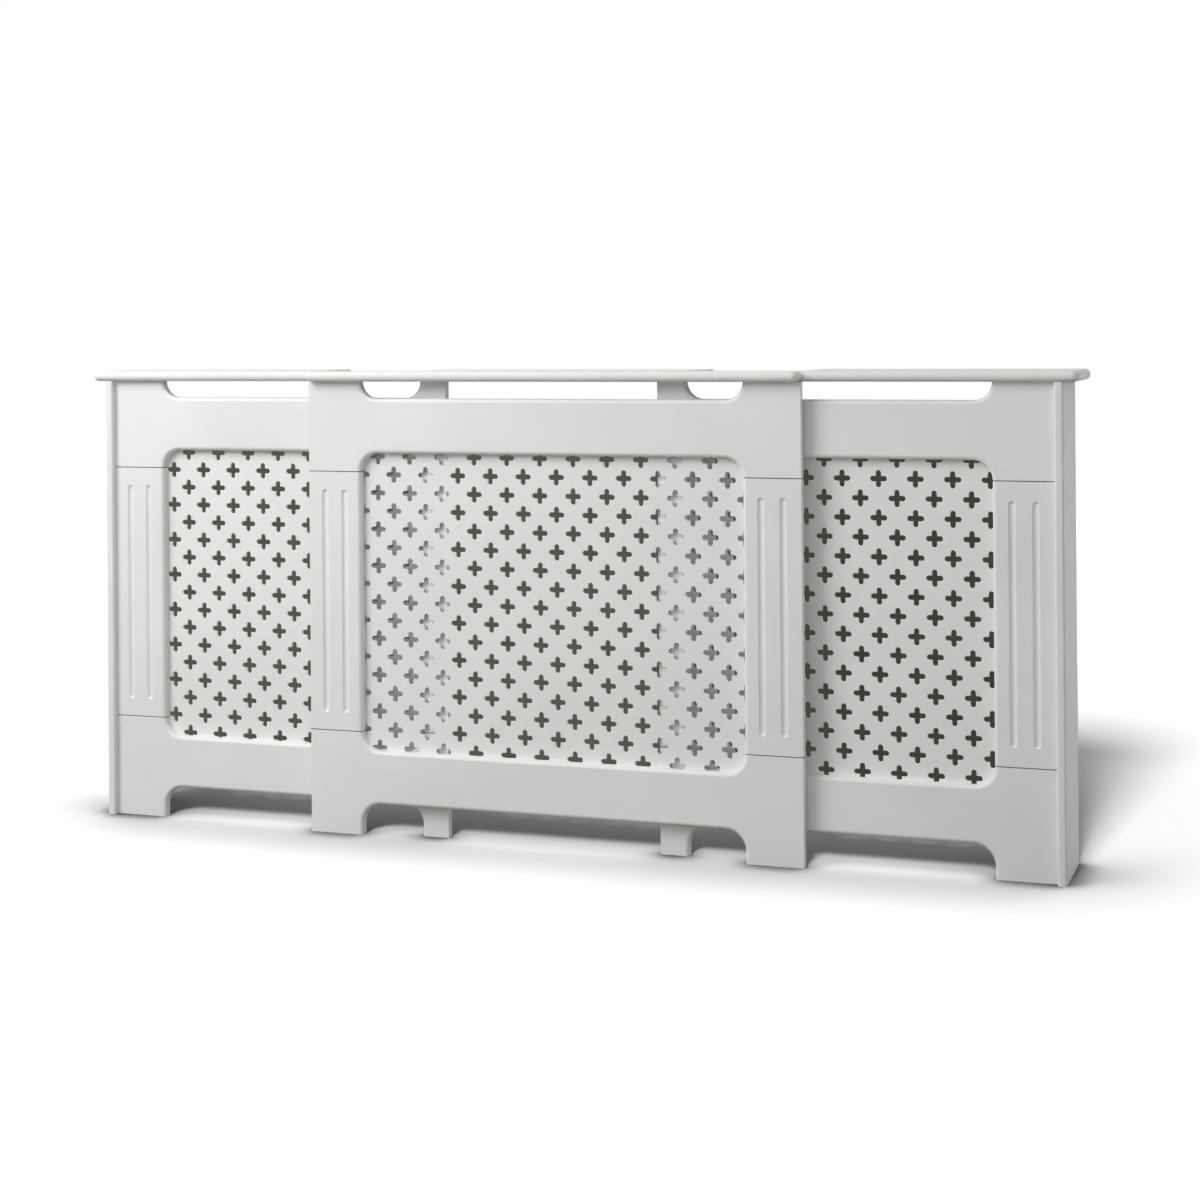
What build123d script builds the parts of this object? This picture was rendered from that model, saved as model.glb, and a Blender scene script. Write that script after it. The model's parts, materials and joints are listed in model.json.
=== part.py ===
from build123d import *
import os

os.makedirs("parts", exist_ok=True)

# Adjustable radiator cover cabinet. A centre unit (front frame, nosing and cover sheet) bridges
# two side units (front frame, end panel and shelf) that slide behind it to fit the wall.
# Millimetres; X runs along the wall, -Y faces the room, Z is up from the floor.
# The origin is on the floor, at the middle of the width and of the depth.

# ---------------------------------------------------------------- overall
height = 820.0  # floor to the top of the shelf
depth = 190.0  # wall to the front of the nosing
centre_width = 900.0  # front frame of the centre unit
side_width = 665.0  # front frame of each side unit
side_spread = 195.0  # middle of the cabinet to the inner end of each side unit

# ---------------------------------------------------------------- stock
board = 18.0  # shelf and nosing thickness
panel = 15.0  # rails, stiles and end panels
sheet = 4.0  # pierced grille sheets
cover = 3.0  # hardboard sheet that closes the top between the two shelves

# ---------------------------------------------------------------- front frames
wide_stile = 100.0  # fluted stiles and the feet below them
narrow_stile = 50.0  # plain stiles that stay behind the centre unit
foot_height = 55.0
bottom_band = 94.0  # bottom rail between the arch and the grille opening
top_band = 97.0  # top rail between the grille opening and the vent slot
vent_height = 30.0  # slot under the shelf, with quarter-round ends
opening_corner = 33.0
arch_corner = 35.0
opening_round = 7.0  # round-over of the grille opening, the vent and the arch
joint_chamfer = 1.0  # makes the fine V line between stile and rail

flute_radius = 7.5  # shallow, so that a flute is 12 wide
flute_depth = 3.0
flute_offset = 19.0  # each side of the stile's middle
flute_margin = 32.0  # joint line to the end of a flute

# ---------------------------------------------------------------- pierced sheet
cross_length = 28.5
cross_arm = 9.0
column_pitch = 61.2
row_pitch = 64.5
sheet_lap = 25.0  # sheet behind the frame, all round
centre_cross = (14.1, 185.1)  # one cross of each sheet, as x and z
left_cross = (-746.8, 186.6)
right_cross = (754.7, 190.2)

# ---------------------------------------------------------------- depths and overhangs
nosing_overhang = 20.0  # in front of the centre frame
shelf_overhang = 16.0  # in front of the side frames
end_overhang = 25.0  # shelf beyond the end panel
end_projection = 12.0  # end panel in front of the side frame
end_round = 4.0
nose_flat = 1.0  # flat left in the middle of the full-round edges
plan_corner = 12.0
slide_gap = 8.0  # centre frame to side frames
slide_clearance = 0.4

cover_reach = 57.0  # cover sheet over each side shelf, as drawn
cover_seat = 12.0  # width of the rebate in the nosing
cover_clearance = 0.2  # sheet above the rebated shelf
rebate_clearance = 2.0  # past the cover sheet's end when the sides are pushed fully in

# ---------------------------------------------------------------- guides behind the vent slots
guide_width = 30.0
guide_clearance = 0.5
keeper_width = 40.0
keeper_hook = 22.5  # keeper below the vent slot, behind the side unit's top rail
keeper_thickness = 6.0

# ---------------------------------------------------------------- fixings
tongue_thickness = 4.0
tongue_depth = 24.0  # half in each of the two pieces
tongue_margin = 14.0  # stile's edges to the ends of its tongues
nosing_tongue_length = 60.0
nosing_tongue_thickness = 3.0
staple_width = 10.0
staple_leg = 10.0
staple_wire = 1.2
staple_inset = 40.0  # outer staples to the ends of the opening
staple_edge = 5.0  # staples to the edge of the sheet
glue_block = 17.0  # legs of the corner blocks
glue_block_nose = 6.0
glue_block_length = 30.0
rear_block_inset = 50.0  # from the wall
low_block_drop = 62.0  # below the lower joint
high_block_drop = 42.0  # below the upper joint
screw_radius = 1.75
head_radius = 3.5
head_height = 2.0
keeper_screw_length = 40.0
bracket_screw_length = 14.0
bracket_leg = 25.0
bracket_width = 20.0
bracket_thickness = 2.0
bracket_low_z = 150.0
bracket_drop = 102.0  # upper bracket below the shelf
bracket_screw_inset = 15.0
wall_hole_inset = 17.0
wall_hole_radius = 2.5

# ---------------------------------------------------------------- levels and planes
under_z = height - board
vent_z = under_z - vent_height
opening_top = vent_z - top_band
opening_bottom = foot_height + bottom_band
upper_joint = opening_top - opening_corner
lower_joint = opening_bottom + opening_corner
opening_height = opening_top - opening_bottom
opening_z = (opening_top + opening_bottom) / 2

wall_y = depth / 2
nosing_front = -depth / 2
centre_face = nosing_front + nosing_overhang
centre_back = centre_face + panel
side_face = centre_back + slide_gap
side_back = side_face + panel
shelf_front = side_face - shelf_overhang
nosing_back = shelf_front - slide_clearance
nose_round = (board - nose_flat) / 2

half_centre = centre_width / 2
side_outer = side_spread + side_width
opening_inner = side_spread + narrow_stile
opening_outer = side_outer - wide_stile
shelf_end = side_outer + panel + end_overhang
guide_x = half_centre - wide_stile / 2
cover_half = side_spread + cover_reach
rebate_length = cover_half + rebate_clearance

LEFT, RIGHT = (-1, 0, 0), (1, 0, 0)
FORWARD, BACK = (0, -1, 0), (0, 1, 0)
DOWN, UP = (0, 0, -1), (0, 0, 1)
FROM_SEAT = (Align.CENTER, Align.CENTER, Align.MIN)
ABOVE_SEAT = (Align.CENTER, Align.CENTER, Align.MAX)


def keep(part, label):
    """Label a finished piece and write it under its own name."""
    part.label = label
    export_step(part, f"parts/{label}.step")


def facade(y):
    """The plane of a front frame's back face, seen from the room."""
    return Plane.XZ.offset(-y)


def drill(seats, length, radius=screw_radius):
    """Round holes from each seat into the piece that is being built."""
    for seat, into in seats:
        with Locations(Plane(origin=seat, z_dir=into)):
            Cylinder(radius, length, align=FROM_SEAT, mode=Mode.SUBTRACT)


def nose(piece, along):
    """Round the upper and lower edges that along picks, leaving a small flat between them."""
    middle = height - board / 2
    rim = piece.edges().filter_by(lambda e: abs(e.center().Z - middle) > nose_flat)
    fillet(rim.filter_by(lambda e: along(e.center())), nose_round)


def box_between(low, high, mode=Mode.ADD):
    """A square-edged piece given by its lowest and highest corners."""
    middle = tuple((a + b) / 2 for a, b in zip(low, high))
    with Locations(middle):
        Box(*[b - a for a, b in zip(low, high)], mode=mode)


def pockets(boxes):
    """Square holes for tongues and staple legs in the piece that is being built."""
    for low, high in boxes:
        box_between(low, high, Mode.SUBTRACT)


# ---------------------------------------------------------------- fixing points
def tongue(middle, length, y, thickness, joint):
    """A loose tongue across a joint line, as its lowest and highest corners."""
    half = (length / 2, thickness / 2, tongue_depth / 2)
    at = (middle, y, joint)
    return tuple(a - h for a, h in zip(at, half)), tuple(a + h for a, h in zip(at, half))


def frame_tongues(x_low, x_high, low_stile, high_stile, face):
    """One tongue in each end of the two stiles."""
    boxes = []
    for middle, width in ((x_low + low_stile / 2, low_stile), (x_high - high_stile / 2, high_stile)):
        for joint in (lower_joint, upper_joint):
            boxes.append(tongue(middle, width - 2 * tongue_margin, face + panel / 2, tongue_thickness, joint))
    return boxes


def staple_places(x_low, x_high, back):
    """Staples round the lap of a pierced sheet: the crown's middle and the way it lies."""
    out = sheet_lap - staple_edge
    places = []
    for x in (x_low + staple_inset, (x_low + x_high) / 2, x_high - staple_inset):
        for z in (opening_bottom - out, opening_top + out):
            places.append(((x, back + sheet, z), RIGHT))
    for x in (x_low - out, x_high + out):
        for z in (lower_joint + staple_inset, upper_joint - staple_inset):
            places.append(((x, back + sheet, z), UP))
    return places


def legs(places):
    """The two square legs of each staple, as lowest and highest corners."""
    reach = (staple_width - staple_wire) / 2
    boxes = []
    for (x, y, z), along in places:
        for side in (-reach, reach):
            leg_x, leg_z = x + along[0] * side, z + along[2] * side
            boxes.append(((leg_x - staple_wire / 2, y - staple_leg, leg_z - staple_wire / 2),
                          (leg_x + staple_wire / 2, y, leg_z + staple_wire / 2)))
    return boxes


centre_tongues = frame_tongues(-half_centre, half_centre, wide_stile, wide_stile, centre_face)
side_tongues = frame_tongues(side_spread, side_outer, narrow_stile, wide_stile, side_face)
centre_staples = staple_places(wide_stile - half_centre, half_centre - wide_stile, centre_back)
side_staples = staple_places(opening_inner, opening_outer, side_back)
left_staples = staple_places(-opening_outer, -opening_inner, side_back)

nosing_tongue_y = (centre_face + nosing_back) / 2
keeper_back = side_back + guide_clearance + keeper_thickness
keeper_z = (vent_z + under_z) / 2
nosing_tongues = []
keeper_seats = []
for guide_middle in (-guide_x, guide_x):
    nosing_tongues.append(tongue(guide_middle, nosing_tongue_length, nosing_tongue_y,
                                 nosing_tongue_thickness, under_z))
    keeper_seats.append(((guide_middle, keeper_back, keeper_z), FORWARD))

# Each glue block fills a corner: the middle of its square edge, the way it runs, and its first leg.
blocks = [
    ((side_spread + narrow_stile / 2, side_back, under_z), LEFT, BACK),
    ((side_outer - wide_stile / 2, side_back, under_z), LEFT, BACK),
    ((side_outer, wall_y - rear_block_inset, under_z), FORWARD, LEFT),
    ((side_outer, side_back, lower_joint - low_block_drop), DOWN, LEFT),
    ((side_outer, side_back, upper_joint - high_block_drop), DOWN, LEFT),
]

bracket_levels = (bracket_low_z, under_z - bracket_drop)
bracket_x = side_outer - bracket_thickness
bracket_seats = [((bracket_x, wall_y - bracket_screw_inset, z), RIGHT) for z in bracket_levels]
wall_seats = [((side_outer - wall_hole_inset, wall_y - bracket_thickness, z), BACK) for z in bracket_levels]


# ---------------------------------------------------------------- front frame pieces
def make_top_rail(x_low, x_high, low_stile, high_stile, face, holes):
    """Full-width rail with the upper corners of the opening and the vent slot on its top edge."""
    span = x_high - x_low - low_stile - high_stile
    middle = (x_low + low_stile + x_high - high_stile) / 2
    with BuildPart() as rail:
        with BuildSketch(facade(face + panel)):
            with Locations(((x_low + x_high) / 2, (upper_joint + under_z) / 2)):
                Rectangle(x_high - x_low, under_z - upper_joint)
            with Locations((middle, opening_z)):
                RectangleRounded(span, opening_height, opening_corner, mode=Mode.SUBTRACT)
            with Locations((middle, under_z)):
                SlotOverall(span, 2 * vent_height, mode=Mode.SUBTRACT)
        extrude(amount=panel)
        front = rail.edges().group_by(Axis.Y)[0]
        fillet(front.filter_by(lambda e: upper_joint + 1 < e.center().Z < opening_top + 1), opening_round)
        front = rail.edges().group_by(Axis.Y)[0]
        fillet(front.filter_by(lambda e: vent_z - 1 < e.center().Z < under_z - 1), opening_round)
        joints = rail.edges().group_by(Axis.Y)[0].filter_by(lambda e: abs(e.center().Z - upper_joint) < 0.1)
        chamfer(joints, joint_chamfer)
        pockets(holes)
    return rail.part


def make_bottom_rail(x_low, x_high, low_stile, high_stile, face, holes):
    """Full-width rail with the lower corners of the opening, the arch and the two feet."""
    span = x_high - x_low - low_stile - high_stile
    middle = (x_low + low_stile + x_high - high_stile) / 2
    with BuildPart() as rail:
        with BuildSketch(facade(face + panel)):
            with Locations(((x_low + x_high) / 2, lower_joint / 2)):
                Rectangle(x_high - x_low, lower_joint)
            with Locations((middle, opening_z)):
                RectangleRounded(span, opening_height, opening_corner, mode=Mode.SUBTRACT)
            with Locations((middle, 0)):
                RectangleRounded(span, 2 * foot_height, arch_corner, mode=Mode.SUBTRACT)
        extrude(amount=panel)
        front = rail.edges().group_by(Axis.Y)[0]
        fillet(front.filter_by(lambda e: opening_bottom - 1 < e.center().Z < lower_joint - 1), opening_round)
        front = rail.edges().group_by(Axis.Y)[0]
        fillet(front.filter_by(lambda e: 1 < e.center().Z < foot_height + 1), opening_round)
        joints = rail.edges().group_by(Axis.Y)[0].filter_by(lambda e: abs(e.center().Z - lower_joint) < 0.1)
        chamfer(joints, joint_chamfer)
        pockets(holes)
    return rail.part


def make_stile(x_low, width, face, open_side, fluted, holes):
    """Upright between the rails; open_side is 1 where the grille opening lies to its right."""
    middle = x_low + width / 2
    half_flute = (flute_radius**2 - (flute_radius - flute_depth) ** 2) ** 0.5
    flute_length = upper_joint - lower_joint - 2 * (flute_margin + half_flute)
    with BuildPart() as stile:
        box_between((x_low, face, lower_joint), (x_low + width, face + panel, upper_joint))
        front = stile.edges().filter_by(Axis.Z).group_by(Axis.Y)[0]
        fillet(front.sort_by(Axis.X)[-1 if open_side > 0 else 0], opening_round)
        ends = stile.edges().filter_by(Axis.X).group_by(Axis.Y)[0]
        chamfer(ends, joint_chamfer)
        if fluted:
            flute_y = face - (flute_radius - flute_depth)
            for x in (middle - flute_offset, middle + flute_offset):
                with Locations((x, flute_y, opening_z)):
                    Cylinder(flute_radius, flute_length, mode=Mode.SUBTRACT)
                with Locations(*[(x, flute_y, opening_z + s * flute_length / 2) for s in (-1, 1)]):
                    Sphere(flute_radius, mode=Mode.SUBTRACT)
        pockets(holes)
    return stile.part


def make_grille(x_low, x_high, back, start, staples):
    """Sheet pierced with crosses on a staggered lattice that runs through the point start."""
    half, arm = cross_length / 2, cross_arm / 2
    corner = [(half, -arm), (half, arm), (arm, arm)]
    outline = []
    for turn in range(4):
        for x, z in corner:
            for _ in range(turn):
                x, z = -z, x
            outline.append((x, z))
    sites = []
    half_column, half_row = column_pitch / 2, row_pitch / 2
    columns = range(int((x_low - start[0]) // half_column), int((x_high - start[0]) // half_column) + 2)
    rows = range(int((opening_bottom - start[1]) // half_row), int((opening_top - start[1]) // half_row) + 2)
    for column in columns:
        for row in rows:
            x, z = start[0] + column * half_column, start[1] + row * half_row
            shows = x_low - arm < x < x_high + arm and opening_bottom - arm < z < opening_top + arm
            if (column + row) % 2 == 0 and shows:
                sites.append((x, z))
    slits = [((low[0] + high[0]) / 2, (low[2] + high[2]) / 2) for low, high in legs(staples)]
    with BuildPart() as grille:
        with BuildSketch(facade(back + sheet)):
            with Locations(((x_low + x_high) / 2, opening_z)):
                Rectangle(x_high - x_low + 2 * sheet_lap, opening_height + 2 * sheet_lap)
            with Locations(*sites):
                Polygon(*outline, align=None, mode=Mode.SUBTRACT)
            with Locations(*slits):
                Rectangle(staple_wire, staple_wire, mode=Mode.SUBTRACT)
        extrude(amount=sheet)
    return grille.part


def make_tongues(boxes):
    """Loose plywood tongues, half in each of the two pieces that they join."""
    with BuildPart() as tongues:
        for low, high in boxes:
            box_between(low, high)
    return tongues.part


def make_staples(places):
    """Square-wire staples, each with its crown flat on the sheet."""
    with BuildPart() as staples:
        for (x, y, z), along in places:
            half_x, half_z = [staple_width / 2 if a else staple_wire / 2 for a in (along[0], along[2])]
            box_between((x - half_x, y, z - half_z), (x + half_x, y + staple_wire, z + half_z))
        for low, high in legs(places):
            box_between(low, high)
    return staples.part


def make_screws(seats, length):
    """Pan-head screws, each with its head on the seat."""
    with BuildPart() as screws:
        for seat, into in seats:
            with Locations(Plane(origin=seat, z_dir=into)):
                Cylinder(screw_radius, length, align=FROM_SEAT)
                Cylinder(head_radius, head_height, align=ABOVE_SEAT)
    return screws.part


# ---------------------------------------------------------------- centre unit
centre_opening = (wide_stile - half_centre, half_centre - wide_stile)
centre_holes = centre_tongues + legs(centre_staples)
centre_frame = (-half_centre, half_centre, wide_stile, wide_stile, centre_face, centre_holes)

with BuildPart() as centre_top_rail:
    add(make_top_rail(*centre_frame))
    drill(keeper_seats, keeper_screw_length)
    pockets(nosing_tongues)
keep(centre_top_rail.part, "centre_top_rail")
keep(make_bottom_rail(*centre_frame), "centre_bottom_rail")

keep(make_stile(-half_centre, wide_stile, centre_face, 1, True, centre_holes), "centre_left_stile")
keep(make_stile(centre_opening[1], wide_stile, centre_face, -1, True, centre_holes), "centre_right_stile")
keep(make_grille(*centre_opening, centre_back, centre_cross, centre_staples), "centre_grille")
keep(make_tongues(centre_tongues), "centre_frame_tongues")
keep(make_staples(centre_staples), "centre_grille_staples")
keep(make_tongues(nosing_tongues), "nosing_tongues")

# Nosing: a full-round strip on the centre frame, rebated behind for the cover sheet.
with BuildPart() as nosing:
    box_between((-half_centre, nosing_front, under_z), (half_centre, nosing_back, height))
    fillet(nosing.edges().filter_by(Axis.Z).group_by(Axis.Y)[0], plan_corner)
    nose(nosing, lambda at: at.Y < nosing_back - nose_flat)
    box_between((-cover_half, nosing_back - cover_seat, height - cover),
                (cover_half, nosing_back, height), Mode.SUBTRACT)
    pockets(nosing_tongues)
keep(nosing.part, "nosing")

# Cover sheet: glued in the nosing's rebate, it closes the top between the two shelves.
with BuildPart() as cover_sheet:
    box_between((-cover_half, nosing_back - cover_seat, height - cover), (cover_half, wall_y, height))
keep(cover_sheet.part, "cover_sheet")

# Guides: a block through each side unit's vent slot, with a keeper hooked behind its top rail.
guide_low_z = vent_z + guide_clearance
guide_top_z = under_z - guide_clearance
guide_back = side_back + guide_clearance
with BuildPart() as guide_blocks:
    for hand in (-1, 1):
        middle = hand * guide_x
        box_between((middle - guide_width / 2, centre_back, guide_low_z),
                    (middle + guide_width / 2, guide_back, guide_top_z))
    drill(keeper_seats, keeper_screw_length)
keep(guide_blocks.part, "guide_blocks")

with BuildPart() as guide_keepers:
    for hand in (-1, 1):
        middle = hand * guide_x
        box_between((middle - keeper_width / 2, guide_back, vent_z - keeper_hook),
                    (middle + keeper_width / 2, keeper_back, guide_top_z))
    drill(keeper_seats, keeper_screw_length)
keep(guide_keepers.part, "guide_keepers")
keep(make_screws(keeper_seats, keeper_screw_length), "keeper_screws")


# ---------------------------------------------------------------- side units
side_holes = side_tongues + legs(side_staples)
side_frame = (side_spread, side_outer, narrow_stile, wide_stile, side_face, side_holes)
inner_stile = (side_spread, narrow_stile, side_face, 1, False, side_holes)
fluted_stile = (opening_outer, wide_stile, side_face, -1, True, side_holes)

# End panel: stands on the floor, carries the shelf's end and closes the cabinet's side.
with BuildPart() as end_panel:
    box_between((side_outer, side_face - end_projection, 0), (side_outer + panel, wall_y, under_z))
    fillet(end_panel.edges().filter_by(Axis.Z).group_by(Axis.Y)[0], end_round)
    drill(bracket_seats, bracket_screw_length)

# Shelf: full-round on its front and outer edges, rebated on top where the cover sheet slides.
with BuildPart() as shelf:
    box_between((side_spread, shelf_front, under_z), (shelf_end, wall_y, height))
    fillet(shelf.edges().filter_by(Axis.Z).sort_by(lambda e: e.center().X - e.center().Y)[-1], plan_corner)
    nose(shelf, lambda at: at.Y < wall_y - nose_flat and at.X > side_spread + nose_flat)
    box_between((side_spread, shelf_front, height - cover - cover_clearance),
                (side_spread + rebate_length, wall_y, height), Mode.SUBTRACT)

# Glue blocks: short softwood blocks in the corners where frame, end panel and shelf meet.
with BuildPart() as glue_blocks:
    for corner, run, leg in blocks:
        start = tuple(c - r * glue_block_length / 2 for c, r in zip(corner, run))
        with BuildSketch(Plane(origin=start, x_dir=leg, z_dir=run)):
            Polygon((0, 0), (glue_block, 0), (glue_block, glue_block_nose),
                    (glue_block_nose, glue_block), (0, glue_block), align=None)
        extrude(amount=glue_block_length)

# Wall brackets: steel angles inside the end panel, flush with its back edge.
with BuildPart() as wall_brackets:
    for level in bracket_levels:
        low, high = level - bracket_width / 2, level + bracket_width / 2
        box_between((bracket_x, wall_y - bracket_leg, low), (side_outer, wall_y, high))
        box_between((side_outer - bracket_leg, wall_y - bracket_thickness, low), (side_outer, wall_y, high))
    drill(bracket_seats, bracket_screw_length)
    drill(wall_seats, bracket_thickness, wall_hole_radius)

side_pieces = {
    "shelf": shelf.part,
    "end_panel": end_panel.part,
    "top_rail": make_top_rail(*side_frame),
    "bottom_rail": make_bottom_rail(*side_frame),
    "fluted_stile": make_stile(*fluted_stile),
    "inner_stile": make_stile(*inner_stile),
    "frame_tongues": make_tongues(side_tongues),
    "grille_staples": make_staples(side_staples),
    "glue_blocks": glue_blocks.part,
    "wall_brackets": wall_brackets.part,
    "bracket_screws": make_screws(bracket_seats, bracket_screw_length),
}

# Each side's sheet is cut from the pierced board where its own crosses fall.
keep(make_grille(-opening_outer, -opening_inner, side_back, left_cross, left_staples), "left_grille")
keep(make_grille(opening_inner, opening_outer, side_back, right_cross, side_staples), "right_grille")

# All else in the left unit is the right unit's piece mirrored about the middle of the cabinet.
for piece_name, piece in side_pieces.items():
    keep(piece, f"right_{piece_name}")
    with BuildPart() as mirrored:
        mirror(piece, about=Plane.YZ)
    keep(mirrored.part, f"left_{piece_name}")
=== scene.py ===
import json
import math

import bmesh
import bpy
from mathutils import Matrix, Vector

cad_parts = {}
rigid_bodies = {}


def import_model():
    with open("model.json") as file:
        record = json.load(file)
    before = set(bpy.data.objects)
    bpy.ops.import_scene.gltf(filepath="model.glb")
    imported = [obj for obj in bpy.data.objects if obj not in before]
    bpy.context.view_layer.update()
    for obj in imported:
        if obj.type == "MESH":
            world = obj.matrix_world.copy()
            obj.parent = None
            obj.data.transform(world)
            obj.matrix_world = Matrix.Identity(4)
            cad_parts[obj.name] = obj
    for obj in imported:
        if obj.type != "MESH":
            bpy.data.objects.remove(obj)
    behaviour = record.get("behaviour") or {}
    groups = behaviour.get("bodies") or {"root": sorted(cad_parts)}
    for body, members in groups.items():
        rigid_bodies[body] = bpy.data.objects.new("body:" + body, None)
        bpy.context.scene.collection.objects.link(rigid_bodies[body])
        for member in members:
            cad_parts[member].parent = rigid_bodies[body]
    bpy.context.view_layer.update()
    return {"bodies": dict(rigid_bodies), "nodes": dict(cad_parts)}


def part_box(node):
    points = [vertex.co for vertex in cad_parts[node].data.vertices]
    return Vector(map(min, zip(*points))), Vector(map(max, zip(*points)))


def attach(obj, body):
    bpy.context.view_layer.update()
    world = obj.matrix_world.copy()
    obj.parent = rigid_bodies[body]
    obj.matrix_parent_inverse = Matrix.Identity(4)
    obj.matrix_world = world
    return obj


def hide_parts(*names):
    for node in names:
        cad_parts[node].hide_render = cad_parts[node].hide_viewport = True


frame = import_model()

# ---------------------------------------------------------------- front frames
# Rails and stiles of the three front frames: 15 mm MDF, routed to shape, tongued and glued,
# then sprayed with satin white water-based paint. The fine V lines are the rail joints, with painted shade
# along them.
nodes = frame["nodes"]
SIDES = (("left", -1), ("right", 1))

PAINT = "#efeeee"
PAINT_SHADE = "#eae9e8"
CLOUD_MM = 180.0  # width of one cloud in the white
PEEL_MM = 5.0
PEEL_DEPTH_MM = 0.035
NIB_WIDTH = 0.25  # of the peel's width
NIB_HEIGHT = 0.18  # of the peel's height
SMOOTHER = 0.04  # fall in roughness in the peel's hollows
ROUGHER = 0.05  # rise in roughness on its crests
# Seam colour: painted shade, a dark line in the paint where each joint's V crack lies in shadow.
SEAM_SHADE_COLOUR = "#4a4843"
SEAM_HALF = 0.0011
SEAM_RISE = 0.0003  # middle of the dark line above the joint


def linear(hex_colour):
    """An sRGB hex colour as the linear RGBA that a shader takes."""
    channels = [int(hex_colour[i:i + 2], 16) / 255 for i in (1, 3, 5)]
    return [c / 12.92 if c <= 0.04045 else ((c + 0.055) / 1.055) ** 2.4 for c in channels] + [1.0]


def add(tree, kind, inputs=None, **settings):
    """One shader node with its settings; an input takes a value or another node's output."""
    made = tree.nodes.new("ShaderNode" + kind)
    for name, value in settings.items():
        setattr(made, name, value)
    for name, value in (inputs or {}).items():
        if isinstance(value, bpy.types.NodeSocket):
            tree.links.new(value, made.inputs[name])
        else:
            made.inputs[name].default_value = value
    return made


def new_material(name):
    """An empty node material, its tree and the object coordinates in metres."""
    material = bpy.data.materials.new(name)
    material.use_nodes = True
    material.node_tree.nodes.clear()
    place = add(material.node_tree, "TexCoord").outputs["Object"]
    return material, material.node_tree, place


def finish_material(tree, inputs):
    """Joins a Principled shader with these inputs to the material's output."""
    shader = add(tree, "BsdfPrincipled", inputs)
    add(tree, "OutputMaterial", {"Surface": shader.outputs[0]})


def sprayed_paint(name, body, shade, peel_mm, peel_depth_mm, roughness, shaded_seams=(), mirror_level=0.4):
    """Sprayed satin paint: near-even white, a faint cloudiness and the low waves of orange peel.
    At each of the given seam heights, a thin dark line of painted shade stands for the shadow down the V
    line."""
    material, tree, place = new_material(name)
    cloud = add(tree, "TexNoise", {"Vector": place, "Scale": 1000 / CLOUD_MM, "Detail": 3.0})
    tone = add(tree, "MapRange", {"Value": cloud.outputs[0], "From Min": 0.35, "From Max": 0.65})
    paint = add(tree, "Mix", {0: tone.outputs[0], 6: linear(shade), 7: linear(body)}, data_type="RGBA")
    height = add(tree, "SeparateXYZ", {0: place}).outputs["Z"]
    # Painted shade: the colour darkens along each seam height.
    for seam in shaded_seams:
        off = add(tree, "Math", {0: height, 1: seam + SEAM_RISE}, operation="SUBTRACT")
        away = add(tree, "Math", {0: off.outputs[0]}, operation="ABSOLUTE")
        dark = add(tree, "MapRange", {"Value": away.outputs[0], "From Min": SEAM_HALF / 2,
                                      "From Max": SEAM_HALF, "To Min": 1.0, "To Max": 0.0})
        paint = add(tree, "Mix", {0: dark.outputs[0], 6: paint.outputs[2], 7: linear(SEAM_SHADE_COLOUR)},
                    data_type="RGBA")
    peel = add(tree, "TexNoise", {"Vector": place, "Scale": 1000 / peel_mm, "Detail": 2.0})
    nibs = add(tree, "TexNoise", {"Vector": place, "Scale": 1000 / (peel_mm * NIB_WIDTH), "Detail": 1.0})
    waves = add(tree, "Math", {0: nibs.outputs[0], 1: NIB_HEIGHT, 2: peel.outputs[0]},
                operation="MULTIPLY_ADD")
    bump = add(tree, "Bump", {"Height": waves.outputs[0], "Strength": 1.0, "Distance": peel_depth_mm / 1000})
    sheen = add(tree, "MapRange", {"Value": peel.outputs[0], "From Min": 0.3, "From Max": 0.7,
                                   "To Min": roughness - SMOOTHER, "To Max": roughness + ROUGHER})
    finish_material(tree, {"Base Color": paint.outputs[2], "Roughness": sheen.outputs[0],
                           "IOR": 1.5, "Specular IOR Level": mirror_level, "Normal": bump.outputs[0]})
    return material


def dress(node, material):
    """A CAD piece keeps its shape and takes this material in every slot."""
    slots = nodes[node].data.materials
    for index in range(max(1, len(slots))):
        if index < len(slots):
            slots[index] = material
        else:
            slots.append(material)


# Satin paint on MDF gives soft, broad highlights and hardly any texture; its orange peel,
# about 2 mm across on the real board, is drawn 5 mm across so that a render can hold it.
# All three frames have their joints at the heights of this stile's ends.
joint_heights = [corner.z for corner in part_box("centre_left_stile")]
satin_paint_on_jointed_mdf = sprayed_paint("satin_paint_on_jointed_mdf", PAINT, PAINT_SHADE, PEEL_MM,
                                           PEEL_DEPTH_MM, roughness=0.45, shaded_seams=joint_heights)

for rail in ("centre_top_rail", "centre_bottom_rail", "centre_left_stile", "centre_right_stile"):
    dress(rail, satin_paint_on_jointed_mdf)
for hand, _ in SIDES:
    for piece in ("top_rail", "bottom_rail", "fluted_stile", "inner_stile"):
        dress(f"{hand}_{piece}", satin_paint_on_jointed_mdf)

# ---------------------------------------------------------------- pierced grille sheets
# Behind each frame lies a 4 mm fibreboard sheet pierced with crosses on a staggered lattice.
# A round cutter makes the crosses, so the arms end in half circles; the sheets are painted
# before they are stapled on.
CROSS_LENGTH = 0.0285
CROSS_ARM = 0.0090
COLUMN_PITCH = 0.0612
ROW_PITCH = 0.0645
SHEET_LAP = 0.025  # behind the frame, all round
SHEET_EASE = 0.0004
ARM_STEPS = 7
LATTICE_STARTS = {"centre": (0.0141, 0.1851), "left": (-0.7468, 0.1866), "right": (0.7547, 0.1902)}


def put_in_scene(name, data):
    """A new object in the scene with this mesh, curve, lamp or camera."""
    made = bpy.data.objects.new(name, data)
    bpy.context.scene.collection.objects.link(made)
    return made


def shown_mesh(source):
    """The mesh that an object shows, with its thickness or its modifiers worked in."""
    bpy.context.view_layer.update()
    return bpy.data.meshes.new_from_object(source.evaluated_get(bpy.context.evaluated_depsgraph_get()))


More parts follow.
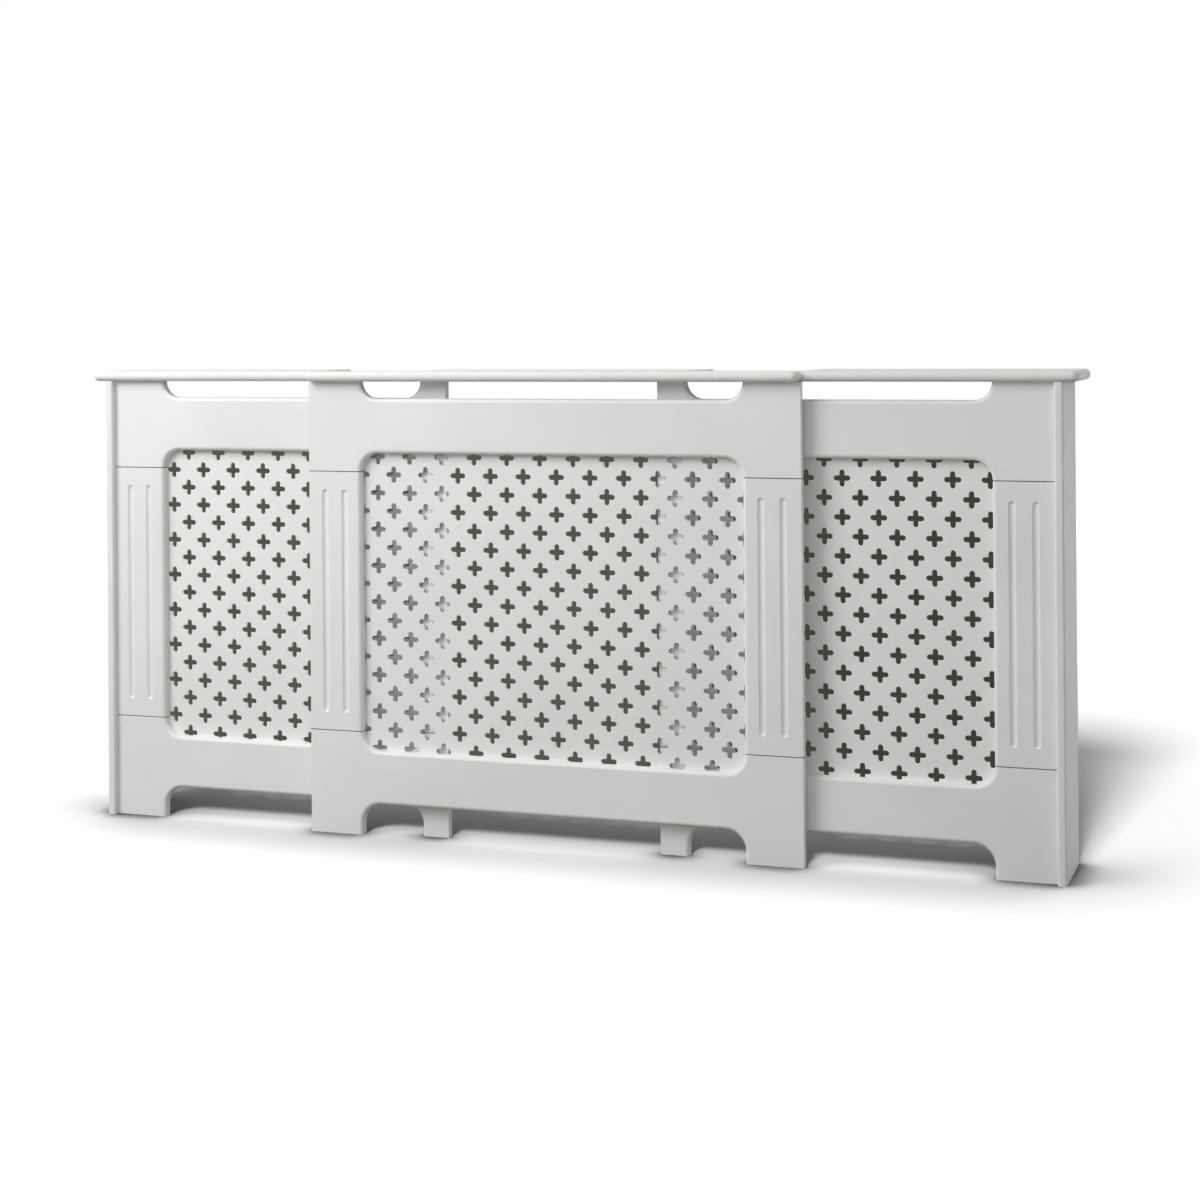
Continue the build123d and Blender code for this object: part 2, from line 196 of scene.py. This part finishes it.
def cross_outline(place):
    """One cross round this place: four arms with half-round ends and square inner corners."""
    radius = CROSS_ARM / 2
    reach = CROSS_LENGTH / 2 - radius
    points = []
    for turn in range(4):
        spin = Matrix.Rotation(turn * math.pi / 2, 2)
        for step in range(ARM_STEPS + 1):
            angle = math.pi * (step / ARM_STEPS - 0.5)
            arm = Vector((reach + radius * math.cos(angle), radius * math.sin(angle)))
            points.append(place + spin @ arm)
        points.append(place + spin @ Vector((radius, radius)))
    return points


def lattice(low, high, start):
    """Cross centres between two corners of the opening, staggered, through the point start."""
    step = Vector((COLUMN_PITCH / 2, ROW_PITCH / 2))
    margin = CROSS_ARM / 2
    first = [math.floor((low[i] - margin - start[i]) / step[i]) for i in (0, 1)]
    last = [math.ceil((high[i] + margin - start[i]) / step[i]) for i in (0, 1)]
    places = []
    for column in range(first[0], last[0] + 1):
        for row in range(first[1], last[1] + 1):
            at = start + Vector((column * step.x, row * step.y))
            inside = all(low[i] - margin < at[i] < high[i] + margin for i in (0, 1))
            if inside and (column + row) % 2 == 0:
                places.append(at)
    return places


def outline_spline(curve, points):
    """Adds one closed outline to a flat curve."""
    spline = curve.splines.new("POLY")
    spline.points.add(len(points) - 1)
    for point, at in zip(spline.points, points):
        point.co = (at.x, at.y, 0.0, 1.0)
    spline.use_cyclic_u = True


def pierced_sheet(name, node, start):
    """A sheet the size of the CAD one, with its crosses cut through and its edges eased."""
    low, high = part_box(node)
    curve = bpy.data.curves.new(name + "_outline", "CURVE")
    curve.dimensions = "2D"
    curve.fill_mode = "BOTH"
    corners = [(low.x, low.z), (high.x, low.z), (high.x, high.z), (low.x, high.z)]
    outline_spline(curve, [Vector(corner) for corner in corners])
    opening_low = Vector((low.x + SHEET_LAP, low.z + SHEET_LAP))
    opening_high = Vector((high.x - SHEET_LAP, high.z - SHEET_LAP))
    for place in lattice(opening_low, opening_high, start):
        outline_spline(curve, cross_outline(place))
    curve.extrude = (high.y - low.y) / 2 - SHEET_EASE
    curve.bevel_depth = SHEET_EASE
    curve.bevel_resolution = 1
    curve.offset = -SHEET_EASE
    pattern = put_in_scene(name + "_outline", curve)
    upright = Matrix.Rotation(math.pi / 2, 4, "X")
    pattern.matrix_world = Matrix.Translation((0, (low.y + high.y) / 2, 0)) @ upright
    mesh = shown_mesh(pattern)
    mesh.transform(pattern.matrix_world)
    bpy.data.objects.remove(pattern)
    mesh.name = name
    return put_in_scene(name, mesh)


# The sheets' paint is a thinner coat over a hard face: its orange peel is finer and lower
# than the frames', so that the flat between the crosses looks even.
satin_paint_on_fibreboard = sprayed_paint("satin_paint_on_fibreboard", "#efefee", "#ebebea",
                                          peel_mm=4.0, peel_depth_mm=0.025, roughness=0.46)

for unit, start in LATTICE_STARTS.items():
    sheet = pierced_sheet(f"{unit}_pierced_sheet", f"{unit}_grille", Vector(start))
    sheet.data.materials.clear()
    sheet.data.materials.append(satin_paint_on_fibreboard)
    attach(sheet, f"{unit}_unit")
    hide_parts(f"{unit}_grille")

# ---------------------------------------------------------------- tongues and glue blocks
# Loose birch plywood tongues cross every joint of the frames and the nosing. Short sawn
# softwood blocks are glued into the corners of frame, end panel and shelf, and left bare.
WAVE_REPEAT = math.pi / 10  # length over which a wave texture repeats at scale 1
PLY_PAIR_MM = 2.6  # one light and one dark ply
FIBRE_MM = 2.5  # coarser than birch's own fibres, so that they show
FIBRE_STRETCH = 10  # length of a fibre to its width
FIBRE_DEPTH = 0.0001
YEAR_RING_MM = 6.4  # pale early wood and amber late wood together
SAW_MARKS_PER_MM = 0.9
SAW_MARK_DEPTH = 0.00025
GLUE_BLOCK_EASE = 0.0006


def ease_edges(node, width):
    """Takes the sharpness off a CAD piece's edges."""
    bevel = nodes[node].modifiers.new("eased_edges", "BEVEL")
    bevel.width = width
    bevel.segments = 2
    bevel.limit_method = "ANGLE"
    bevel.angle_limit = math.radians(50)


# Plywood shows thin light and dark lines on its edges and a quiet grain on its face.
birch_plywood, tree, place = new_material("birch_plywood")
plies = add(tree, "TexWave", {"Vector": place, "Scale": WAVE_REPEAT * 1000 / PLY_PAIR_MM,
                              "Distortion": 0.4, "Detail": 1.0}, bands_direction="Y")
fibres = 1000 / FIBRE_MM
stretch = add(tree, "Mapping", {"Vector": place, "Scale": (fibres / FIBRE_STRETCH, fibres, fibres)})
grain = add(tree, "TexNoise", {"Vector": stretch.outputs[0], "Scale": 1.0, "Detail": 4.0})
ply_tone = add(tree, "Mix", {0: plies.outputs[1], 6: linear("#d8b98c"), 7: linear("#b58c5c")},
               data_type="RGBA")
ply_grain = add(tree, "Mix", {0: grain.outputs[0], 6: ply_tone.outputs[2], 7: linear("#c8a574")},
                data_type="RGBA")
ply_bump = add(tree, "Bump", {"Height": grain.outputs[0], "Distance": FIBRE_DEPTH})
finish_material(tree, {"Base Color": ply_grain.outputs[2], "Roughness": 0.7, "Normal": ply_bump.outputs[0]})

# Sawn softwood shows broad pale and amber year rings and the fur left by the saw.
sawn_softwood, tree, place = new_material("sawn_softwood")
rings = add(tree, "TexWave", {"Vector": place, "Scale": WAVE_REPEAT * 1000 / YEAR_RING_MM,
                              "Distortion": 5.0, "Detail": 2.0, "Detail Scale": 0.6},
            wave_type="RINGS", rings_direction="X")
saw = add(tree, "TexNoise", {"Vector": place, "Scale": 1000 * SAW_MARKS_PER_MM, "Detail": 3.0})
ring_tone = add(tree, "Mix", {0: rings.outputs[1], 6: linear("#e3c795"), 7: linear("#c79a5e")},
                data_type="RGBA")
saw_bump = add(tree, "Bump", {"Height": saw.outputs[0], "Distance": SAW_MARK_DEPTH})
finish_material(tree, {"Base Color": ring_tone.outputs[2], "Roughness": 0.8, "Normal": saw_bump.outputs[0]})

dress("centre_frame_tongues", birch_plywood)
dress("nosing_tongues", birch_plywood)
for hand, _ in SIDES:
    dress(f"{hand}_frame_tongues", birch_plywood)
    dress(f"{hand}_glue_blocks", sawn_softwood)
    ease_edges(f"{hand}_glue_blocks", GLUE_BLOCK_EASE)

# ---------------------------------------------------------------- nosing and cover sheet
# The nosing is an 18 mm MDF strip with a full-round front, on top of the centre frame. The
# 3 mm cover sheet is glued in its rebate and closes the top between the two shelves.

# The nosing, shelves and end panels have the frames' colour in a duller coat that mirrors
# about half as much, so they keep soft, even tones where they turn away from the light.
satin_paint_on_mdf = sprayed_paint("satin_paint_on_mdf", PAINT, PAINT_SHADE, PEEL_MM, PEEL_DEPTH_MM,
                                   roughness=0.5, mirror_level=0.22)

dress("nosing", satin_paint_on_mdf)
dress("cover_sheet", satin_paint_on_fibreboard)

# ---------------------------------------------------------------- shelves and end panels
# Each side unit has an 18 mm shelf with a full-round front and outer edge, and a 15 mm end
# panel that stands on the floor; both are MDF in the nosing's paint, held by the glue blocks.
for hand, _ in SIDES:
    dress(f"{hand}_shelf", satin_paint_on_mdf)
    dress(f"{hand}_end_panel", satin_paint_on_mdf)

# ---------------------------------------------------------------- guides and keepers
# Beech blocks behind the centre frame run in the vent slots of the side units; plywood
# keepers, one screw each, hook behind the side units' top rails.
BEECH_FLECK_MM = 0.8  # a little coarser than beech's own, so that they show
FLECK_SQUEEZE = 0.12  # width of a fleck to its length
FLECK_DEPTH = 0.00005
GUIDE_EASE = 0.0008
KEEPER_EASE = 0.0005

# Planed beech is an even pinkish tan with short dark flecks along the grain.
planed_beech, tree, place = new_material("planed_beech")
lay = add(tree, "Mapping", {"Vector": place, "Scale": (FLECK_SQUEEZE, 1.0, 1.0)})
fleck = add(tree, "TexVoronoi", {"Vector": lay.outputs[0], "Scale": 1000 / BEECH_FLECK_MM})
dark = add(tree, "MapRange", {"Value": fleck.outputs[0], "From Min": 0.0, "From Max": 0.35})
beech_tone = add(tree, "Mix", {0: dark.outputs[0], 6: linear("#9a6b48"), 7: linear("#cfa27a")},
                 data_type="RGBA")
beech_bump = add(tree, "Bump", {"Height": dark.outputs[0], "Distance": FLECK_DEPTH})
finish_material(tree, {"Base Color": beech_tone.outputs[2], "Roughness": 0.55,
                       "Normal": beech_bump.outputs[0]})

dress("guide_blocks", planed_beech)
dress("guide_keepers", birch_plywood)
ease_edges("guide_blocks", GUIDE_EASE)
ease_edges("guide_keepers", KEEPER_EASE)

# ---------------------------------------------------------------- staples, screws and brackets
# Square-wire staples hold the sheets. Pan-head screws with a cross recess hold the keepers
# and the brackets, which are angles pressed from 2 mm strip. All are zinc-plated steel.
SCREW_HEAD_RADIUS = 0.0035
SCREW_HEAD_HEIGHT = 0.0020
SCREW_SHANK_RADIUS = 0.00175
SCREW_TIP_RADIUS = 0.0002
THREAD_PITCH = 0.0012
THREAD_DEPTH = 0.0005
PAN_STEPS = 6
PAN_FLANK = 0.3 * SCREW_HEAD_HEIGHT  # straight side below the dome
PAN_SQUARENESS = 0.6  # 1 makes the dome an ellipse, and less makes it squarer
RECESS_LENGTH = 0.0042
RECESS_WIDTH = 0.0009
RECESS_DEPTH = 0.0011
TURN_STEPS = 32
SPANGLE_MM = 3.0
SPANGLE_DEPTH = 0.00003
WELD_DISTANCE = 0.00001  # joins the faces of one CAD solid
BRACKET_EASE = 0.0004

# Bright zinc plate is a bluish silver, slightly cloudy, with soft reflections.
zinc_plated_steel, tree, place = new_material("zinc_plated_steel")
spangle = add(tree, "TexNoise", {"Vector": place, "Scale": 1000 / SPANGLE_MM, "Detail": 2.0})
zinc_tone = add(tree, "Mix", {0: spangle.outputs[0], 6: linear("#b9bdc2"), 7: linear("#d3d6d8")},
                data_type="RGBA")
zinc_gloss = add(tree, "MapRange", {"Value": spangle.outputs[0], "To Min": 0.28, "To Max": 0.42})
zinc_bump = add(tree, "Bump", {"Height": spangle.outputs[0], "Distance": SPANGLE_DEPTH})
finish_material(tree, {"Base Color": zinc_tone.outputs[2], "Metallic": 1.0,
                       "Roughness": zinc_gloss.outputs[0], "Normal": zinc_bump.outputs[0]})


def turned(name, profile):
    """A solid of revolution about Z from (radius, height) points, closed at both ends."""
    mesh = bpy.data.meshes.new(name)
    shape = bmesh.new()
    rings = []
    for radius, level in profile:
        ring = []
        for step in range(TURN_STEPS):
            angle = 2 * math.pi * step / TURN_STEPS
            ring.append(shape.verts.new((radius * math.cos(angle), radius * math.sin(angle), level)))
        rings.append(ring)
    for lower, upper in zip(rings, rings[1:]):
        for step in range(TURN_STEPS):
            after = (step + 1) % TURN_STEPS
            shape.faces.new((lower[step], lower[after], upper[after], upper[step]))
    shape.faces.new(list(reversed(rings[0])))
    shape.faces.new(rings[-1])
    shape.to_mesh(mesh)
    shape.free()
    return mesh


def screw_mesh(length):
    """A pan-head wood screw: its seat at the origin, its head above and its point below."""
    profile = [(SCREW_TIP_RADIUS, -length)]
    level = -length + THREAD_PITCH * 2
    while level < -THREAD_PITCH * 2:
        profile.append((SCREW_SHANK_RADIUS - THREAD_DEPTH, level))
        profile.append((SCREW_SHANK_RADIUS, level + THREAD_PITCH / 2))
        level += THREAD_PITCH
    profile += [(SCREW_SHANK_RADIUS, -THREAD_PITCH), (SCREW_SHANK_RADIUS, 0.0), (SCREW_HEAD_RADIUS, 0.0)]
    for step in range(PAN_STEPS + 1):
        angle = math.pi / 2 * step / PAN_STEPS
        across = (SCREW_HEAD_RADIUS - SCREW_TIP_RADIUS) * math.cos(angle) ** PAN_SQUARENESS
        rise = (SCREW_HEAD_HEIGHT - PAN_FLANK) * math.sin(angle)
        profile.append((SCREW_TIP_RADIUS + across, PAN_FLANK + rise))
    body = put_in_scene("screw_blank", turned("screw_blank", profile))
    cutter_mesh = bpy.data.meshes.new("recess")
    cutter = bmesh.new()
    for size in ((RECESS_LENGTH, RECESS_WIDTH), (RECESS_WIDTH, RECESS_LENGTH)):
        arm = bmesh.ops.create_cube(cutter, size=1.0)["verts"]
        bmesh.ops.scale(cutter, vec=(size[0], size[1], 2 * RECESS_DEPTH), verts=arm)
        bmesh.ops.translate(cutter, vec=(0, 0, SCREW_HEAD_HEIGHT), verts=arm)
    cutter.to_mesh(cutter_mesh)
    cutter.free()
    recess = put_in_scene("recess", cutter_mesh)
    cut = body.modifiers.new("recess", "BOOLEAN")
    cut.operation = "DIFFERENCE"
    cut.object = recess
    cut.use_self = True
    mesh = shown_mesh(body)
    for used in (body, recess):
        bpy.data.objects.remove(used)
    return mesh


def solids(node):
    """The lowest and highest corners of each separate solid in a CAD node."""
    shape = bmesh.new()
    shape.from_mesh(nodes[node].data)
    bmesh.ops.remove_doubles(shape, verts=shape.verts, dist=WELD_DISTANCE)
    left = set(shape.verts)
    boxes = []
    while left:
        waiting = [left.pop()]
        group = []
        while waiting:
            vertex = waiting.pop()
            group.append(vertex.co.copy())
            for edge in vertex.link_edges:
                other = edge.other_vert(vertex)
                if other in left:
                    left.discard(other)
                    waiting.append(other)
        boxes.append([Vector([pick(v[i] for v in group) for i in range(3)]) for pick in (min, max)])
    shape.free()
    return boxes


def seat_screws(name, node, body, into):
    """One detailed screw for each CAD screw of a node, joined into one piece."""
    into = Vector(into)
    turn = Vector((0, 0, -1)).rotation_difference(into).to_matrix().to_4x4()
    joined = bmesh.new()
    for low, high in solids(node):
        middle = (low + high) / 2
        half = abs((high - low).dot(into)) / 2
        seat = middle - into * (half - SCREW_HEAD_HEIGHT)
        mesh = screw_mesh(2 * half - SCREW_HEAD_HEIGHT)
        mesh.transform(Matrix.Translation(seat) @ turn)
        joined.from_mesh(mesh)
        bpy.data.meshes.remove(mesh)
    mesh = bpy.data.meshes.new(name)
    joined.to_mesh(mesh)
    joined.free()
    mesh.materials.append(zinc_plated_steel)
    piece = put_in_scene(name, mesh)
    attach(piece, body)
    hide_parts(node)


dress("centre_grille_staples", zinc_plated_steel)
seat_screws("keeper_pan_screws", "keeper_screws", "centre_unit", (0, -1, 0))
for hand, sign in SIDES:
    dress(f"{hand}_grille_staples", zinc_plated_steel)
    dress(f"{hand}_wall_brackets", zinc_plated_steel)
    ease_edges(f"{hand}_wall_brackets", BRACKET_EASE)
    seat_screws(f"{hand}_bracket_pan_screws", f"{hand}_bracket_screws", f"{hand}_unit", (sign, 0, 0))

# ---------------------------------------------------------------- floor
# A plain white floor of studio paper, 28 m across. It takes the cabinet's shadow close by, partly cast by
# the lamps and partly painted shade from occlusion, and turns to an even white further off.
FLOOR_HALF = 14.0
# The two reaches below set where shade is painted into the paper's colour.
CONTACT_REACH = 0.32  # soft darkening round the cabinet
CONTACT_POWER = 1.45
TOUCH_REACH = 0.045  # darker line where the cabinet stands
TOUCH_POWER = 1.8
PAPER_REFLECTANCE = 0.46
GLOW_STARTS = 1.3  # from the middle of the cabinet
GLOW_FULL = 3.5
LEAST_GLOW = 0.02
MOST_GLOW = 0.3


def seen_directly(tree):
    """1 for rays from the camera, off a mirror or through glass, and 0 for bounced light."""
    rays = add(tree, "LightPath")
    mirror = add(tree, "Math", {0: rays.outputs["Is Camera Ray"], 1: rays.outputs["Is Glossy Ray"]},
                 operation="MAXIMUM")
    direct = add(tree, "Math", {0: mirror.outputs[0], 1: rays.outputs["Is Transmission Ray"]},
                 operation="MAXIMUM")
    return direct.outputs[0]


# White studio paper shows white, and goes grey where the cabinet keeps the light from it; near the cabinet,
# two occlusion terms paint shade into its colour as well. It sends only a little warm light back up.
studio_paper, tree, place = new_material("studio_paper")
# Painted shade: occlusion near the cabinet darkens the paper's colour.
contact = add(tree, "AmbientOcclusion", {"Distance": CONTACT_REACH}, samples=16)
open_sky = add(tree, "Math", {0: contact.outputs["AO"], 1: CONTACT_POWER}, operation="POWER")
touching = add(tree, "AmbientOcclusion", {"Distance": TOUCH_REACH}, samples=16)
pressed = add(tree, "Math", {0: touching.outputs["AO"], 1: TOUCH_POWER}, operation="POWER")
painted_contact_shade = add(tree, "Math", {0: open_sky.outputs[0], 1: pressed.outputs[0]}, operation="MULTIPLY")
shade = add(tree, "Math", {0: painted_contact_shade.outputs[0], 1: PAPER_REFLECTANCE}, operation="MULTIPLY")
lit = add(tree, "BsdfDiffuse", {"Color": shade.outputs[0]})
reach = add(tree, "VectorMath", {0: place}, operation="LENGTH")
spread = add(tree, "MapRange", {"Value": reach.outputs["Value"], "From Min": GLOW_STARTS,
                                "From Max": GLOW_FULL, "To Min": LEAST_GLOW, "To Max": MOST_GLOW})
glow = add(tree, "Emission", {"Color": linear("#ffffff"), "Strength": spread.outputs[0]})
seen = add(tree, "AddShader", {0: glow.outputs[0], 1: lit.outputs[0]})
bounced = add(tree, "BsdfDiffuse", {"Color": linear("#423e38")})
paper = add(tree, "MixShader", {0: seen_directly(tree), 1: bounced.outputs[0], 2: seen.outputs[0]})
add(tree, "OutputMaterial", {"Surface": paper.outputs[0]})


def flat_card(name, low, high, material):
    """A flat rectangle between two opposite corners, one of whose sizes is nothing."""
    thin = [i for i in range(3) if low[i] == high[i]][0]
    first, second = [i for i in range(3) if i != thin]
    corners = []
    for a, b in ((0, 0), (1, 0), (1, 1), (0, 1)):
        corner = list(low)
        corner[first] = (low[first], high[first])[a]
        corner[second] = (low[second], high[second])[b]
        corners.append(corner)
    mesh = bpy.data.meshes.new(name)
    mesh.from_pydata(corners, [], [(0, 1, 2, 3)])
    mesh.materials.append(material)
    card = put_in_scene(name, mesh)
    return card


floor = flat_card("floor", (-FLOOR_HALF, -FLOOR_HALF, 0.0), (FLOOR_HALF, FLOOR_HALF, 0.0), studio_paper)

# ---------------------------------------------------------------- dark space behind the grilles
# Cards behind the pierced sheets are painted shade: a faintly glowing dark grey that stands for the unlit
# space between cabinet and wall. They show only to the camera from the front, through the crosses, and each
# moves with its own unit.
CARD_LOW = 0.105
CARD_HIGH = 0.735
CARD_GAP = 0.004  # behind the side units' sheets
CARD_STEP = 0.0005  # the centre's card behind the sides' cards
CARD_LAP = 0.015  # the centre's card past the sides' inner stiles
CARD_INSET = 0.002  # the sides' cards within their bottom rails
MURK_PER_METRE = 14.0  # patches about 70 mm across
SHADE_STARTS = 0.25  # right of the middle
SHADE_FULL = 0.5
MURK_LEFT = 1.2  # strength of the grey before the shade starts
MURK_RIGHT = 0.65  # and where it is full

# Painted shade: the unlit space glows a warm dark grey, slightly uneven, and darker towards the right end,
# where less light falls in.
painted_shade_space, tree, place = new_material("painted_shade_space")
gloom = add(tree, "TexNoise", {"Vector": place, "Scale": MURK_PER_METRE, "Detail": 2.0})
gloom_tone = add(tree, "Mix", {0: gloom.outputs[0], 6: linear("#44443d"), 7: linear("#56554d")},
                 data_type="RGBA")
along = add(tree, "SeparateXYZ", {0: place}).outputs["X"]
fade = add(tree, "MapRange", {"Value": along, "From Min": SHADE_STARTS, "From Max": SHADE_FULL,
                              "To Min": MURK_LEFT, "To Max": MURK_RIGHT})
# The glow is painted shade, not a lamp: a dark grey shown only to camera rays.
murk = add(tree, "Emission", {"Color": gloom_tone.outputs[2], "Strength": fade.outputs[0]})
clear = add(tree, "BsdfTransparent")
rays = add(tree, "LightPath")
facing = add(tree, "NewGeometry")
front = add(tree, "Math", {0: 1.0, 1: facing.outputs["Backfacing"]}, operation="SUBTRACT")
shown = add(tree, "Math", {0: rays.outputs["Is Camera Ray"], 1: front.outputs[0]}, operation="MULTIPLY")
veil = add(tree, "MixShader", {0: shown.outputs[0], 1: clear.outputs[0], 2: murk.outputs[0]})
add(tree, "OutputMaterial", {"Surface": veil.outputs[0]})

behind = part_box("right_grille")[1].y + CARD_GAP
centre_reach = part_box("right_inner_stile")[1].x + CARD_LAP
cards = [("dark_centre", -centre_reach, centre_reach, behind + CARD_STEP, "centre_unit")]
for hand, _ in SIDES:
    inner_x, outer_x = sorted(corner.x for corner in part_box(f"{hand}_bottom_rail"))
    cards.append((f"dark_{hand}", inner_x + CARD_INSET, outer_x - CARD_INSET, behind, f"{hand}_unit"))
for name, low_x, high_x, back, body in cards:
    card = flat_card(name, (low_x, back, CARD_LOW), (high_x, back, CARD_HIGH), painted_shade_space)
    card.parent = frame["bodies"][body]

# ---------------------------------------------------------------- backdrop
# The world stands for a white studio all round: it shows white, and it gives the even light
# around the lamps, strongest from the horizon and weakest from overhead.
AMBIENT = 0.81
FROM_HORIZON = 1.15 * AMBIENT
FROM_OVERHEAD = 0.2 * AMBIENT

world = bpy.data.worlds.new("studio")
world.use_nodes = True
world.node_tree.nodes.clear()
bpy.context.scene.world = world
tree = world.node_tree
heading = add(tree, "TexCoord").outputs["Generated"]
rise = add(tree, "SeparateXYZ", {0: heading}).outputs["Z"]
ambient = add(tree, "MapRange", {"Value": rise, "From Min": 0.0, "From Max": 1.0,
                                 "To Min": FROM_HORIZON, "To Max": FROM_OVERHEAD})
strength = add(tree, "Mix", {0: seen_directly(tree), 2: ambient.outputs[0], 3: 1.0})
sky = add(tree, "Background", {"Color": linear("#ffffff"), "Strength": strength.outputs[0]})
add(tree, "OutputWorld", {"Surface": sky.outputs[0]})

# ---------------------------------------------------------------- lamps
# One soft lamp stands high on the left in front. A second, a broad one far in front, lights
# only the floor, so that the cabinet's shadow falls straight back.
KEY_PLACE = Vector((-1.5, -1.75, 2.2))
KEY_AIM = Vector((0.0, 0.0, 0.6))
KEY_SIZE = (1.6, 1.7)
KEY_POWER = 55.5
PAPER_LAMP_HEADING = Vector((0.0, 0.83, -0.56))
PAPER_LAMP_STRENGTH = 9.4
PAPER_LAMP_SPREAD = math.radians(13)

key_light = bpy.data.lights.new("key_lamp", "AREA")
key_light.shape = "RECTANGLE"
key_light.size, key_light.size_y = KEY_SIZE
key_light.energy = KEY_POWER
key_lamp = put_in_scene("key_lamp", key_light)
key_lamp.location = KEY_PLACE
key_lamp.rotation_euler = (KEY_AIM - KEY_PLACE).to_track_quat("-Z", "Y").to_euler()

paper_light = bpy.data.lights.new("paper_lamp", "SUN")
paper_light.energy = PAPER_LAMP_STRENGTH
paper_light.angle = PAPER_LAMP_SPREAD
paper_lamp = put_in_scene("paper_lamp", paper_light)
paper_lamp.rotation_euler = PAPER_LAMP_HEADING.to_track_quat("-Z", "Y").to_euler()
lit_by_paper_lamp = bpy.data.collections.new("lit_by_paper_lamp")
lit_by_paper_lamp.objects.link(floor)
paper_lamp.light_linking.receiver_collection = lit_by_paper_lamp

# ---------------------------------------------------------------- camera
# The camera stands to the right of the middle and looks left, almost level, through a long
# lens. The shift of the lens puts the cabinet where the photograph has it.
CAMERA_PLACE = Vector((1.3155, -3.5736, 0.8960))
CAMERA_YAW = math.radians(19.372)
CAMERA_PITCH = math.radians(-0.114)
CAMERA_ROLL = math.radians(-0.459)
SENSOR_MM = 36.0
LENS_MM = 65.30
SHIFT = (0.0075, -0.2315)

ahead = Vector((-math.sin(CAMERA_YAW) * math.cos(CAMERA_PITCH),
                math.cos(CAMERA_YAW) * math.cos(CAMERA_PITCH), -math.sin(CAMERA_PITCH)))
across = Vector((math.cos(CAMERA_YAW), math.sin(CAMERA_YAW), 0.0))
upward = across.cross(ahead)
tilted_across = math.cos(CAMERA_ROLL) * across + math.sin(CAMERA_ROLL) * upward
tilted_up = math.cos(CAMERA_ROLL) * upward - math.sin(CAMERA_ROLL) * across
lens = bpy.data.cameras.new("photo_camera")
lens.sensor_width = SENSOR_MM
lens.lens = LENS_MM
lens.shift_x, lens.shift_y = SHIFT
camera = put_in_scene("photo_camera", lens)
turn = Matrix((tilted_across, tilted_up, -ahead)).transposed().to_4x4()
camera.matrix_world = Matrix.Translation(CAMERA_PLACE) @ turn
bpy.context.scene.camera = camera
bpy.context.scene.view_settings.view_transform = "Standard"
